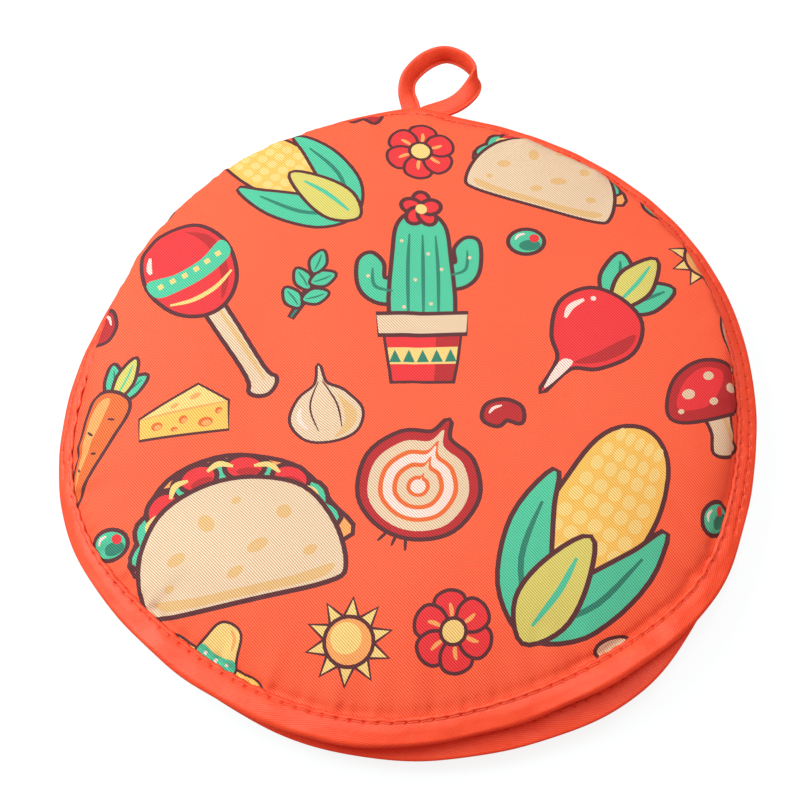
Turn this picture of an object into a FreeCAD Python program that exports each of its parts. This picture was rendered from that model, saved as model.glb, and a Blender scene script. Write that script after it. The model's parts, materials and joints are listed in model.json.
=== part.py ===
"""Round padded cloth pouch that keeps a stack of tortillas warm.

Two round quilted panels lie on each other. Each is a cover, batting, an insulating film and a
lining, bound together at the edge by a folded tape. The two bound edges are sewn to each other round
the rear, and the rest of the edge is the mouth. A tape loop at the rear hangs the pouch on a hook.

Millimetres. The origin is the centre of the disc on the surface that the pouch lies on, +Z is up,
+Y points to the hanging loop and -Y to the mouth.
"""
import FreeCAD, Part
import math
import os

Vector = FreeCAD.Vector

# Whole pouch
pouch_radius = 152.5            # to the outer fold of the binding tape
mouth_half_angle = 71.0         # degrees each way from -Y that are left unsewn
mouth_lift = 4.0                # degrees that the front of the upper panel stands open at rest
split_gap = 0.3                 # between the rear of the upper panel and its flap

# Binding tape
tape_width = 11.0               # seen on each face of a panel
tape_thickness = 0.8
fold_radius = 2.0               # of the tape's outer fold

# Layers of a panel, from outside to pocket
cover_thickness = 0.6
film_thickness = 0.2
lining_thickness = 0.5
layer_gap = 0.1

# Padding of the upper panel, above its bound edge
upper_wall = 1.0                # short upright part beside the tape
upper_shoulder = 11.0           # radius from the upright part to the top
upper_crown = 3.5               # rise of the top towards the centre

# Padding of the lower panel, below its bound edge
lower_wall = 1.8
lower_shoulder = 10.0

# Pocket between the linings
upper_dish = 4.2                # depth of the hollow in each lining, from the bound edge
lower_dish = 2.2
dish_margin = 4.0               # flat lining inside the tape
dish_slope = 22.0               # width of the slope round the hollow

# Thread
thread_width = 0.5
thread_height = 0.3
thread_clearance = 0.1          # on a curved face
edge_row_inset = 1.75           # edge row, from the tape's inner edge
joining_row_inset = 5.0         # joining row, from the pouch's outer edge
mouth_row_margin = 20.0         # from the mouth corners to the rows inside the mouth

# Hanging loop
loop_radius = 19.0              # outside of the standing tape
loop_tape_width = 9.0
loop_tape_thickness = 1.6
loop_open_half_angle = 30.0     # degrees each side of -Y where the ring is open
loop_neck = 4.2                 # flat ends between the pouch's edge and the standing tape
loop_gap = 0.5                  # between the pouch's edge and the moving loop
tack_inset = 3.5                # bar tack, from the pouch's outer edge
tack_width = 1.2
tack_height = 0.4

# Derived sizes. Heights called h are measured from the seam plane, outwards in each panel.
edge_stack = 2 * fold_radius - 2 * tape_thickness
edge_inner_h = tape_thickness
edge_outer_h = tape_thickness + edge_stack
binding_h = 2 * fold_radius
tape_inner_radius = pouch_radius - tape_width
wall_radius = tape_inner_radius - layer_gap
layer_radius = pouch_radius - fold_radius
seam_z = edge_outer_h + lower_wall + lower_shoulder
upper_top_z = seam_z + edge_outer_h + upper_wall + upper_shoulder + upper_crown
mouth_y = -pouch_radius * math.cos(math.radians(mouth_half_angle))
batting_from_cover = cover_thickness + layer_gap
film_from_lining = lining_thickness + layer_gap
batting_from_lining = film_from_lining + film_thickness + layer_gap
beyond = 2 * pouch_radius       # larger than the pouch, for the cutting boxes


class Padding:
    """Section of one panel: a flat or crowned top, round shoulders and a hollow lining."""

    def __init__(self, side, wall, shoulder, crown, dish):
        self.side = side
        self.shoulder = shoulder
        self.crown = crown
        self.pocket_h = edge_inner_h + dish
        self.shoulder_x = wall_radius - shoulder
        self.shoulder_h = edge_outer_h + wall
        self.top_h = self.shoulder_h + shoulder + crown

    def at(self, radius, h):
        return Vector(radius, 0, seam_z + self.side * h)

    def top_arcs(self, inset):
        """Crown and shoulder edges, parallel to the cover's face and inset by a distance."""
        reach = self.shoulder - inset
        side_point = self.at(self.shoulder_x + reach, self.shoulder_h)
        apex = self.at(0, self.top_h - inset)
        if self.crown == 0:
            tilt = 0
            crown_end = self.at(self.shoulder_x, self.shoulder_h + reach)
            crown = Part.makeLine(apex, crown_end)
        else:
            rise = self.crown
            radius = (self.shoulder_x ** 2 + 2 * self.shoulder * rise + rise ** 2) / (2 * rise)
            tilt = math.asin(self.shoulder_x / (radius - self.shoulder))
            centre_h = self.top_h - radius

            def on_crown(angle):
                swing = radius - inset
                return self.at(swing * math.sin(angle), centre_h + swing * math.cos(angle))

            crown_end = on_crown(tilt)
            crown = Part.Arc(apex, on_crown(tilt / 2), crown_end).toShape()
        middle = (tilt + math.pi / 2) / 2
        bend = self.at(self.shoulder_x + reach * math.sin(middle),
                       self.shoulder_h + reach * math.cos(middle))
        shoulder = Part.Arc(crown_end, bend, side_point).toShape()
        return [crown, shoulder]

    def outer_line(self, inset):
        """Edges from the axis to the bound edge along the cover's face, inset by a distance."""
        foot = self.at(wall_radius - inset, edge_outer_h - inset)
        side_point = self.at(wall_radius - inset, self.shoulder_h)
        edge = self.at(layer_radius, edge_outer_h - inset)
        return self.top_arcs(inset) + [Part.makeLine(side_point, foot), Part.makeLine(foot, edge)]

    def pocket_line(self, inset):
        """Edges from the axis to the bound edge along the lining's face, inset by a distance."""
        slope_end = tape_inner_radius - dish_margin
        points = [
            self.at(0, self.pocket_h + inset),
            self.at(slope_end - dish_slope, self.pocket_h + inset),
            self.at(slope_end, edge_inner_h + inset),
            self.at(layer_radius, edge_inner_h + inset),
        ]
        return [Part.makeLine(a, b) for a, b in zip(points, points[1:])]

    def layer(self, outer, inner):
        """Solid between two lines of edges that both run from the axis to the bound edge."""
        def ends(edges):
            points = [v.Point for e in edges for v in e.Vertexes]
            return min(points, key=lambda p: p.x), max(points, key=lambda p: p.x)

        outer_axis, outer_edge = ends(outer)
        inner_axis, inner_edge = ends(inner)
        closing = [Part.makeLine(outer_axis, inner_axis), Part.makeLine(outer_edge, inner_edge)]
        wire = Part.Wire(Part.__sortEdges__(outer + inner + closing))
        return turned(wire)

    def cover(self):
        return self.layer(self.outer_line(0), self.outer_line(cover_thickness))

    def batting(self):
        return self.layer(self.outer_line(batting_from_cover), self.pocket_line(batting_from_lining))

    def film(self):
        inner = self.pocket_line(film_from_lining)
        return self.layer(self.pocket_line(film_from_lining + film_thickness), inner)

    def lining(self):
        return self.layer(self.pocket_line(lining_thickness), self.pocket_line(0))

    def binding(self):
        """Tape folded round the edge of the layers: a flat U turned about the axis."""
        fold = pouch_radius - fold_radius
        outer_bend = self.at(pouch_radius, fold_radius)
        inner_bend = self.at(pouch_radius - tape_thickness, fold_radius)
        outside = [
            Part.makeLine(self.at(tape_inner_radius, 0), self.at(fold, 0)),
            Part.Arc(self.at(fold, 0), outer_bend, self.at(fold, binding_h)).toShape(),
            Part.makeLine(self.at(fold, binding_h), self.at(tape_inner_radius, binding_h)),
        ]
        inside = [
            Part.makeLine(self.at(tape_inner_radius, edge_outer_h), self.at(fold, edge_outer_h)),
            Part.Arc(self.at(fold, edge_outer_h), inner_bend, self.at(fold, edge_inner_h)).toShape(),
            Part.makeLine(self.at(fold, edge_inner_h), self.at(tape_inner_radius, edge_inner_h)),
        ]
        closing = [
            Part.makeLine(self.at(tape_inner_radius, binding_h), self.at(tape_inner_radius, edge_outer_h)),
            Part.makeLine(self.at(tape_inner_radius, edge_inner_h), self.at(tape_inner_radius, 0)),
        ]
        return turned(Part.Wire(Part.__sortEdges__(outside + inside + closing)))

    def thread_row(self, radius, h, outwards):
        """Ring of thread that lies on a flat face of the binding."""
        low = seam_z + self.side * h
        high = low + self.side * outwards * thread_height
        return ring(radius - thread_width / 2, radius + thread_width / 2, min(low, high), thread_height)


def turned(wire):
    """Solid of a closed section turned once about the pouch's axis."""
    return Part.Face(wire).revolve(Vector(0, 0, 0), Vector(0, 0, 1), 360)


def ring(inner_radius, outer_radius, low, height, centre_y=0):
    base = Vector(0, centre_y, low)
    return Part.makeCylinder(outer_radius, height, base).cut(Part.makeCylinder(inner_radius, height, base))


def box(low, high):
    return Part.makeBox(high.x - low.x, high.y - low.y, high.z - low.z, low)


def behind(shape, y):
    """The part of a shape on the loop's side of a plane."""
    return shape.common(box(Vector(-beyond, y, -beyond), Vector(beyond, beyond, beyond)))


def in_front(shape, y):
    """The part of a shape on the mouth's side of a plane."""
    return shape.common(box(Vector(-beyond, -beyond, -beyond), Vector(beyond, y, beyond)))


def lifted(shape):
    """The flap's shape, turned up about the mouth hinge to stand slightly open."""
    shape.rotate(Vector(0, mouth_y, upper_top_z), Vector(-1, 0, 0), mouth_lift)
    return shape


def flap_of(shape):
    return lifted(in_front(shape, mouth_y - split_gap))


upper = Padding(1, upper_wall, upper_shoulder, upper_crown, upper_dish)
lower = Padding(-1, lower_wall, lower_shoulder, 0, lower_dish)
edge_row_radius = tape_inner_radius + edge_row_inset
joining_row_radius = pouch_radius - joining_row_inset
mouth_row_y = mouth_y - mouth_row_margin
parts = {}


def make_loop():
    """Tape that stands on edge round the eye, with two flat ends beside each other at the pouch."""
    root_y = pouch_radius + loop_gap
    opening = math.radians(loop_open_half_angle)
    inner = loop_radius - loop_tape_thickness
    centre_y = root_y + loop_neck + loop_radius * math.cos(opening)
    low = seam_z - loop_tape_width / 2
    wedge_reach = 2 * loop_radius
    wedge = Part.Face(Part.makePolygon([
        Vector(0, centre_y, low),
        Vector(-wedge_reach * math.tan(opening), centre_y - wedge_reach, low),
        Vector(wedge_reach * math.tan(opening), centre_y - wedge_reach, low),
        Vector(0, centre_y, low),
    ])).extrude(Vector(0, 0, loop_tape_width))
    tape = ring(inner, loop_radius, low, loop_tape_width, centre_y).cut(wedge)

    end_x = (loop_radius - loop_tape_thickness / 2) * math.sin(opening)
    end_top = seam_z + loop_tape_thickness / 2
    end_bottom = seam_z - loop_tape_thickness / 2
    neck_end = root_y + loop_neck + loop_tape_thickness
    tack_end = pouch_radius - tack_inset
    ends = []
    tacks = []
    for side in (-1, 1):
        left = side * end_x - loop_tape_width / 2
        right = side * end_x + loop_tape_width / 2
        tape = tape.fuse(box(Vector(left, root_y, end_bottom), Vector(right, neck_end, end_top)))
        ends.append(box(Vector(left, tape_inner_radius, end_bottom), Vector(right, pouch_radius, end_top)))
        for tack_z in (seam_z + binding_h, seam_z - binding_h - tack_height):
            low_corner = Vector(left, tack_end - tack_width, tack_z)
            tacks.append(box(low_corner, Vector(right, tack_end, tack_z + tack_height)))

    row_z = seam_z + loop_tape_width / 2 - edge_row_inset
    outer_row = ring(loop_radius + thread_clearance, loop_radius + thread_clearance + thread_height,
                     row_z, thread_width, centre_y)
    inner_row = ring(inner - thread_clearance - thread_height, inner - thread_clearance,
                     row_z, thread_width, centre_y)
    rows = [behind(outer_row, centre_y), behind(inner_row, centre_y)]
    return tape.removeSplitter(), ends, rows, tacks


loop_tape, loop_ends, loop_rows, loop_tacks = make_loop()
sewn_ends = Part.makeCompound(loop_ends)

# Lower panel
parts["lower_cover"] = lower.cover()
parts["lower_batting"] = lower.batting()
parts["lower_film"] = lower.film()
parts["lower_lining"] = lower.lining()
parts["lower_binding"] = lower.binding().cut(sewn_ends)
parts["lower_binding_stitches"] = Part.makeCompound([
    lower.thread_row(edge_row_radius, binding_h, 1),
    in_front(lower.thread_row(edge_row_radius, 0, -1), mouth_row_y),
])

# Upper panel: the rear part is sewn down, and the flap lifts at the mouth
for name, shape in (
    ("cover", upper.cover()),
    ("batting", upper.batting()),
    ("film", upper.film()),
    ("lining", upper.lining()),
    ("binding", upper.binding().cut(sewn_ends)),
):
    parts["upper_" + name + "_rear"] = behind(shape, mouth_y)
    parts["upper_" + name + "_flap"] = flap_of(shape)
upper_row = upper.thread_row(edge_row_radius, binding_h, 1)
inside_row = upper.thread_row(edge_row_radius, 0, -1)
parts["upper_binding_stitches_rear"] = behind(upper_row, mouth_y)
parts["upper_binding_stitches_flap"] = Part.makeCompound([
    flap_of(upper_row),
    lifted(in_front(inside_row, mouth_row_y)),
])

# Row of stitches through both bindings round the rear
parts["joining_stitches"] = Part.makeCompound([
    behind(upper.thread_row(joining_row_radius, binding_h, 1), mouth_y),
    behind(lower.thread_row(joining_row_radius, binding_h, 1), mouth_y),
])

# Hanging loop
parts["hanging_loop"] = loop_tape
parts["loop_stitches"] = Part.makeCompound(loop_rows)
parts["loop_ends"] = sewn_ends
parts["loop_tack_stitches"] = Part.makeCompound(loop_tacks)

os.makedirs("parts", exist_ok=True)
for name, shape in parts.items():
    shape.exportStep("parts/" + name + ".step")
    size = shape.optimalBoundingBox()
    print(f"{name:30s} solids {len(shape.Solids)} volume {shape.Volume:10.1f} "
          f"z {size.ZMin:6.2f} {size.ZMax:6.2f} valid {shape.isValid()}")
print(f"mouth hinge y {mouth_y:.4f} z {upper_top_z:.4f}")
print(f"loop hinge y {pouch_radius + loop_gap / 2:.4f} z {seam_z + loop_tape_thickness / 2:.4f}")
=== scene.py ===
"""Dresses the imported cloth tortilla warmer: printed covers, batting, film, linings, binding tape,
rows of stitches and the hanging loop.

Shapes are worked out in millimetres in the frame's axes, and become metres when a mesh is made. An
angle round the pouch is counted from +X towards +Y, so the mouth is at -90 degrees and the loop at 90.
"""
import bpy
import json
import math
import numpy as np
from mathutils import Matrix, Vector
from mathutils.geometry import delaunay_2d_cdt


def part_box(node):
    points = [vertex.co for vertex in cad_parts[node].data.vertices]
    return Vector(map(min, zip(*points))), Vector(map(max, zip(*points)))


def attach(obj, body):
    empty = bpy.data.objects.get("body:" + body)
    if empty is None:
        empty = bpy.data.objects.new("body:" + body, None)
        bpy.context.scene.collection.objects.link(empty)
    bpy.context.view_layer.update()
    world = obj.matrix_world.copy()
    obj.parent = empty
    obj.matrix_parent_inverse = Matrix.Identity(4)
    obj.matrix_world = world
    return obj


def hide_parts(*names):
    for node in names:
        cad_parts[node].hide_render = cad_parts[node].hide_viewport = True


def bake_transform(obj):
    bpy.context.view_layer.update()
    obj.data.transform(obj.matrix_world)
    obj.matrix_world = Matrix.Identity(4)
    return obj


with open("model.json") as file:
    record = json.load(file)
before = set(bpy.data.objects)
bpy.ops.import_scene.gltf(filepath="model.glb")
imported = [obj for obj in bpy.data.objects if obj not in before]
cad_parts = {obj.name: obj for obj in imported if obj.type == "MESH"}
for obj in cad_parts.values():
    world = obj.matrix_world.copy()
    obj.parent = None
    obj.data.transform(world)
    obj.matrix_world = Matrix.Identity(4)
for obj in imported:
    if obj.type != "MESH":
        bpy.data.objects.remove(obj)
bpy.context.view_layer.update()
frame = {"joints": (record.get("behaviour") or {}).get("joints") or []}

MM = 0.001
TURN = 2 * math.pi


def corners(node):
    """Lowest and highest corner of a CAD node, in millimetres."""
    return [np.array(corner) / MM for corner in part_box(node)]


# ---- Sizes that come from the frame ------------------------------------------------------------------
THREAD = 0.5                        # diameter of the sewing thread
EDGE_ROW_INSET = 1.75               # edge row of stitches, from the tape's inner edge
binding_low, binding_high = corners("lower_binding")
pouch_radius = binding_high[0]
seam_z = binding_high[2]
binding_height = seam_z - binding_low[2]
edge_row_radius = corners("upper_binding_stitches_rear")[1][0] - THREAD / 2
tape_inner = edge_row_radius - EDGE_ROW_INSET
tape_width = pouch_radius - tape_inner
top_z = corners("upper_cover_rear")[1][2]
roof_z = corners("upper_lining_rear")[1][2]
pocket_floor_z = corners("lower_lining")[0][2]
joining_row_inset = pouch_radius - corners("joining_stitches")[1][0] + THREAD / 2
joints = {joint["name"]: joint for joint in frame["joints"]}
hinge_y, hinge_z = (value / MM for value in joints["mouth_hinge"]["pos_m"][1:])
mouth_half = math.acos(-hinge_y / pouch_radius)
loop_hinge_y, loop_hinge_z = (value / MM for value in joints["loop_hinge"]["pos_m"][1:])

# ---- Sizes of the soft shapes ------------------------------------------------------------------------
MOUTH_LIFT = math.radians(4)        # how far the front of the upper panel stands open at rest
BEND_START = 8.0                    # behind the hinge line, where the upper panel starts to bend
BEND_END = 44.0                     # in front of the hinge line, where the bend ends
SETTLE_MOST = 2.2                   # how far the simulation may move a point of a cover
COVER_THICKNESS = 0.6
LINING_THICKNESS = 0.5
FILM_THICKNESS = 0.2
LAYER_GAP = 0.1
LIP_LIFT = 3.0                      # of the cover's face off the seam, where it goes under the tape
COVER_LIFT = 2.6                    # and inside the tape
LINING_LIFT = 0.85
TUCK = 2.5                          # from the tape's fold to the cloths' cut edges
CROWN = 3.5                         # rise of the upper panel's top towards its centre
TAPE_WALL = 0.8                     # folded tape, with its turned-in edges
STITCHES_ROUND = 168                # in the edge row, so one stitch takes 5.3 mm
STEPS_ROUND = 7 * STITCHES_ROUND    # of a finely made cloth
TAPE_STEPS = 11 * STITCHES_ROUND    # of a tape, eleven to a stitch
RINGS = 161                         # of a finely made cloth, from its centre to its cut edge
PUCKER_REACH = 9.0                  # how far the tape's small puckers run into the cover

# Soft unevenness round the pouch, as bumps of (angle in degrees, width in degrees, amount)
EDGE_OUT = [(-155, 19, 7.2), (-68, 20, -5.0), (-28, 12, 2.2), (30, 20, 1.8), (68, 14, -0.6), (104, 13, 3.4), (94, 6, 2.0),
            (128, 14, 2.0), (165, 12, -2.5)]
LOWER_MOUTH_OUT = [(-50, 20, 6.3), (-88, 26, 3.4)]
EDGE_DIP = 28.0                     # degrees that the tape slopes down outwards
EDGE_MORE_DIP = [(-112, 24, -28), (-48, 16, -32), (-155, 20, 14), (160, 30, 18), (125, 20, 12), (60, 40, -14), (95, 15, -8)]
LOWER_MOUTH_DIP = 12.0
PUFF_OUT = [(165, 18, 3.2), (125, 25, 1.5), (60, 22, 0.8)]
SEAM_PARTS = [(94, 5, 1.2)]         # where the loop's ends lie between the two tapes


def bumps(angle, table):
    """Sum of smooth bumps round the pouch, at angles in radians."""
    total = np.zeros_like(angle)
    for centre, width, amount in table:
        away = np.abs((np.degrees(angle) - centre + 180) % 360 - 180)
        total += amount * np.exp(-(away / width) ** 2)
    return total


def smooth(share):
    share = np.clip(share, 0, 1)
    return share * share * (3 - 2 * share)


def mouth_share(angle, degrees):
    """0 round the sewn rear, rising to 1 in the mouth over some degrees from its corners."""
    away = np.abs((angle + TURN / 4 + TURN / 2) % TURN - TURN / 2)
    return smooth((mouth_half - away) / math.radians(degrees))


def ridges(angle, fewest, most, seed):
    """Uneven ripples round the pouch, about 1 high, with between fewest and most of them in a turn."""
    random = np.random.default_rng(seed)
    counts = random.integers(fewest, most, 16)
    phases = random.uniform(0, TURN, 16)
    return sum(np.sin(n * angle + p) for n, p in zip(counts, phases)) / math.sqrt(8)


def lifted(points):
    """Points of the upper panel, turned up about the mouth hinge where they lie in front of it."""
    away = points - np.array([0, hinge_y, hinge_z])
    turn = MOUTH_LIFT * smooth((BEND_START - away[..., 1]) / (BEND_START + BEND_END))
    moved = np.array(points, float)
    moved[..., 1] = hinge_y + away[..., 1] * np.cos(turn) + away[..., 2] * np.sin(turn)
    moved[..., 2] = hinge_z - away[..., 1] * np.sin(turn) + away[..., 2] * np.cos(turn)
    return moved


# ---- Sections of a panel -----------------------------------------------------------------------------
def rounded(points, times=4):
    """Cuts the corners of open lines of points, again and again, into smooth curves."""
    for _ in range(times):
        start, end = points[..., :-1, :], points[..., 1:, :]
        cut = np.stack([0.75 * start + 0.25 * end, 0.25 * start + 0.75 * end], axis=-2)
        cut = cut.reshape(*points.shape[:-2], -1, points.shape[-1])
        points = np.concatenate([points[..., :1, :], cut, points[..., -1:, :]], axis=-2)
    return points


def evenly(lines, count):
    """Each line of points again, as count points evenly spaced along it, and the lines' mean length."""
    steps = np.linalg.norm(np.diff(lines, axis=-2), axis=-1)
    along = np.concatenate([np.zeros((*steps.shape[:-1], 1)), np.cumsum(steps, axis=-1)], axis=-1)
    made = np.empty((len(lines), count, lines.shape[-1]))
    for i, line in enumerate(lines):
        where = np.linspace(0, along[i, -1], count)
        for axis in range(lines.shape[-1]):
            made[i, :, axis] = np.interp(where, along[i], line[:, axis])
    return made, along[:, -1].mean()


def turned(angle, sections):
    """Sections of (radius, height) points, each stood up at its angle round the pouch."""
    radius, height = sections[..., 0], sections[..., 1]
    angle = angle[:, None]
    return np.stack([radius * np.cos(angle), radius * np.sin(angle), height], axis=-1)


class Panel:
    """One padded panel. side is 1 for the upper one and -1 for the lower one."""

    def __init__(self, side):
        self.side = side

    def inner_edge(self, angle):
        """Radius of the tape's inner edge."""
        out = bumps(angle, EDGE_OUT)
        if self.side < 0:
            share = mouth_share(angle, 30)
            out = out * (1 - share) + bumps(angle, LOWER_MOUTH_OUT) * share
        return tape_inner + out

    def by_tape(self, angle, along, off):
        """(radius, height) of a point by its place along the tape from its inner edge, and off the seam."""
        dip = EDGE_DIP + bumps(angle, EDGE_MORE_DIP)
        if self.side < 0:
            share = mouth_share(angle, 60)
            dip = dip * (1 - share) + LOWER_MOUTH_DIP * share
        dip = np.radians(dip)
        off = (off + bumps(angle, SEAM_PARTS)) * self.side
        radius = self.inner_edge(angle) + along * np.cos(dip) + off * np.sin(dip)
        return np.stack([radius, seam_z - along * np.sin(dip) + off * np.cos(dip)], axis=-1)

    def cover_section(self, angle):
        edge = self.inner_edge(angle)
        puff = bumps(angle, PUFF_OUT)
        one = np.ones_like(angle)
        if self.side > 0:
            face, shoulder, low = top_z, top_z - CROWN, seam_z + binding_height
        else:
            face, shoulder, low = 0, 0, seam_z - binding_height
        # The mouth's side of the upper panel slopes down to its tape, and the rest stands up full.
        flat = smooth(0.35 - 0.85 * np.sin(angle)) * (self.side > 0)
        points = [
            np.stack([0 * one, face * one], -1),
            np.stack([0.55 * edge, (face - self.side * abs(face - shoulder) * 0.25) * one], -1),
            np.stack([edge - 17 - 17 * flat, shoulder * one], -1),
            np.stack([edge - 1.5 + puff - 14 * flat, shoulder - self.side * 1.5 - 3.8 * flat], -1),
            np.stack([edge + 0.5 + puff - 4 * flat, low + self.side * 4.5 - 2.7 * flat], -1),
            self.by_tape(angle, -1.8 * one, LIP_LIFT * one),
            self.by_tape(angle, 0.4 * one, LIP_LIFT * one),
            self.by_tape(angle, 2.2 * one, COVER_LIFT * one),
            self.by_tape(angle, (tape_width - TUCK) * one, COVER_LIFT * one),
        ]
        return rounded(np.stack(points, axis=-2))

    def lining_section(self, angle):
        edge = self.inner_edge(angle)
        one = np.ones_like(angle)
        face = roof_z - LINING_THICKNESS if self.side > 0 else pocket_floor_z + LINING_THICKNESS
        points = [
            np.stack([0 * one, face * one], -1),
            np.stack([edge - 40, face * one], -1),
            np.stack([edge - 22, face * one], -1),
            self.by_tape(angle, -5 * one, LINING_LIFT * one),
            self.by_tape(angle, 1 * one, LINING_LIFT * one),
            self.by_tape(angle, (tape_width - TUCK) * one, LINING_LIFT * one),
        ]
        return rounded(np.stack(points, axis=-2))

    def on_tape(self, angle, along, off):
        """Points where they lie at rest, by their angle and their place on the tape."""
        section = self.by_tape(angle, along, off)
        radius, height = section[..., 0], section[..., 1]
        return self.placed(np.stack([radius * np.cos(angle), radius * np.sin(angle), height], axis=-1))

    def placed(self, points):
        """Points of this panel where they lie at rest."""
        return lifted(points) if self.side > 0 else points


class Cloth:
    """A round cloth: rings of points from centre to edge, and where each point of the flat cut goes."""

    def __init__(self, rings, reach):
        self.rings = rings
        self.reach = reach

    def at(self, radius, angle):
        """Smooth interpolation between the rings, at a flat radius and angle."""
        count, round_count = self.rings.shape[:2]
        i = np.clip(radius / self.reach, 0, 1) * (count - 1)
        j = (angle % TURN) / TURN * round_count
        i0, j0 = np.floor(i).astype(int), np.floor(j).astype(int)
        result = np.zeros((*i.shape, 3))
        for di, wi in enumerate(weights(i - i0)):
            ring = i0 + di - 1
            across = ring < 0
            ring = np.minimum(np.abs(ring), count - 1)
            for dj, wj in enumerate(weights(j - j0)):
                place = (j0 + dj - 1 + across * (round_count // 2)) % round_count
                result += (wi * wj)[..., None] * self.rings[ring, place]
        return result

    def normals(self):
        """Unit normals of the rings' points, upwards on a flat cloth."""
        outwards = np.gradient(self.rings, axis=0)
        onwards = np.roll(self.rings, -1, axis=1) - np.roll(self.rings, 1, axis=1)
        normal = np.cross(outwards, onwards)
        length = np.linalg.norm(normal, axis=-1, keepdims=True)
        normal[0] = normal[1].mean(axis=0)
        length[0] = np.linalg.norm(normal[0], axis=-1, keepdims=True)
        return normal / np.maximum(length, 1e-9)

    def raised(self, distance):
        """The same cloth moved upwards off its face, by one distance or one for each point."""
        return Cloth(self.rings + self.normals() * distance, self.reach)

    def coarser(self, ring_step, column_step):
        return Cloth(self.rings[::ring_step, ::column_step], self.reach)

    def flat_places(self):
        """Flat radius and angle of each point."""
        count, round_count = self.rings.shape[:2]
        radius = np.linspace(0, self.reach, count)
        angle = np.arange(round_count) / round_count * TURN
        return np.broadcast_arrays(radius[:, None], angle[None])


def weights(t):
    """Catmull-Rom weights of the four points about t."""
    return [
        (-t + 2 * t ** 2 - t ** 3) / 2,
        (2 - 5 * t ** 2 + 3 * t ** 3) / 2,
        (t + 4 * t ** 2 - 3 * t ** 3) / 2,
        (t ** 3 - t ** 2) / 2,
    ]


# ---- Meshes ------------------------------------------------------------------------------------------
def new_piece(name, points, faces, material, edges=()):
    """An object with its points, given in millimetres, at the frame's origin."""
    mesh = bpy.data.meshes.new(name)
    mesh.from_pydata((np.asarray(points).reshape(-1, 3) * MM).tolist(), edges, faces)
    mesh.polygons.foreach_set("use_smooth", np.ones(len(mesh.polygons), bool))
    mesh.materials.append(material)
    piece = bpy.data.objects.new(name, mesh)
    bpy.context.scene.collection.objects.link(piece)
    return piece


def store(piece, name, values, domain="POINT"):
    """Keeps a vector for each point or corner in an attribute."""
    made = piece.data.attributes.new(name, "FLOAT_VECTOR", domain)
    made.data.foreach_set("vector", np.asarray(values, np.float32).ravel())


def with_modifiers(piece):
    """Makes the modifiers' result the piece's own mesh."""
    evaluated = piece.evaluated_get(bpy.context.evaluated_depsgraph_get())
    mesh = bpy.data.meshes.new_from_object(evaluated)
    piece.modifiers.clear()
    piece.data = mesh
    return piece


def ring_faces(count, round_count, start=0, closed=False):
    """Quads between rings of points, each ring closed on itself, and the last joined to the first if closed."""
    near = np.arange(round_count)
    far = (near + 1) % round_count
    faces = []
    for i in range(count if closed else count - 1):
        low, high = start + i * round_count, start + (i + 1) % count * round_count
        faces += np.stack([low + near, high + near, high + far, low + far], -1).tolist()
    return faces


def disc_layout(cloth):
    """Points, faces and flat places of a disc: a fan round the centre and rings outside it."""
    rings = cloth.rings[1:]
    count, round_count = rings.shape[:2]
    points = np.concatenate([cloth.rings[0, :1], rings.reshape(-1, 3)])
    near = np.arange(round_count)
    faces = np.stack([near * 0, 1 + near, 1 + (near + 1) % round_count], -1).tolist()
    faces += ring_faces(count, round_count, 1)
    flat_radius = np.linspace(0, cloth.reach, len(cloth.rings))[1:]
    angle = near / round_count * TURN
    flat = np.stack(np.broadcast_arrays(
        flat_radius[:, None] * np.cos(angle), flat_radius[:, None] * np.sin(angle), 0.0), -1)
    return points, faces, np.concatenate([np.zeros((1, 3)), flat.reshape(-1, 3)])


def facing(faces, up):
    """Faces as they are, or turned over."""
    return faces if up else [face[::-1] for face in faces]


def sheet_piece(name, cloth, thickness, material, up):
    """A disc of cloth whose face looks up or down, with its thickness on the other side."""
    points, faces, flat = disc_layout(cloth)
    piece = new_piece(name, points, facing(faces, up), material)
    store(piece, "cut", flat * MM)
    return thickened(piece, thickness)


def thickened(piece, thickness):
    solid = piece.modifiers.new("thickness", "SOLIDIFY")
    solid.thickness = thickness * MM
    solid.offset = -1
    solid.use_even_offset = False
    return with_modifiers(piece)


def pad_piece(name, top, bottom, material):
    """A closed pad between two cloths that have the same rings."""
    round_count = top.rings.shape[1]
    top_points, top_faces, flat = disc_layout(top)
    bottom_points, bottom_faces, _ = disc_layout(bottom)
    shift = len(top_points)
    faces = top_faces + [[shift + v for v in face[::-1]] for face in bottom_faces]
    near = shift - round_count + np.arange(round_count)
    far = shift - round_count + (np.arange(round_count) + 1) % round_count
    faces += np.stack([near, near + shift, far + shift, far], -1).tolist()
    piece = new_piece(name, np.concatenate([top_points, bottom_points]), faces, material)
    store(piece, "cut", np.concatenate([flat, flat]) * MM)
    return piece


def band_piece(name, rings, along, across, material, up=True):
    """A closed band from rings of points, whose cloth pattern follows it all the way round.

    along has one more value than a ring has points, and across one more than there are rings.
    """
    count, round_count = rings.shape[:2]
    piece = new_piece(name, rings, facing(ring_faces(count, round_count, closed=True), up), material)
    i, j = np.meshgrid(np.arange(count), np.arange(round_count), indexing="ij")
    i = np.stack([i, i + 1, i + 1, i], -1)
    j = np.stack([j, j, j + 1, j + 1], -1)
    cut = np.stack([along[j], across[i], 0 * i], -1)
    store(piece, "cut", (cut if up else cut[:, :, ::-1]) * MM, "CORNER")
    return piece


# ---- Nodes -------------------------------------------------------------------------------------------
def add(tree, kind, settings=None, inputs=None):
    """A node with its settings and its inputs, which are values or other nodes' outputs."""
    node = tree.nodes.new(kind)
    for name, value in (settings or {}).items():
        setattr(node, name, value)
    for key, value in (inputs or {}).items():
        if isinstance(value, bpy.types.NodeSocket):
            tree.links.new(value, node.inputs[key])
        else:
            node.inputs[key].default_value = value
    return node


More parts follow.
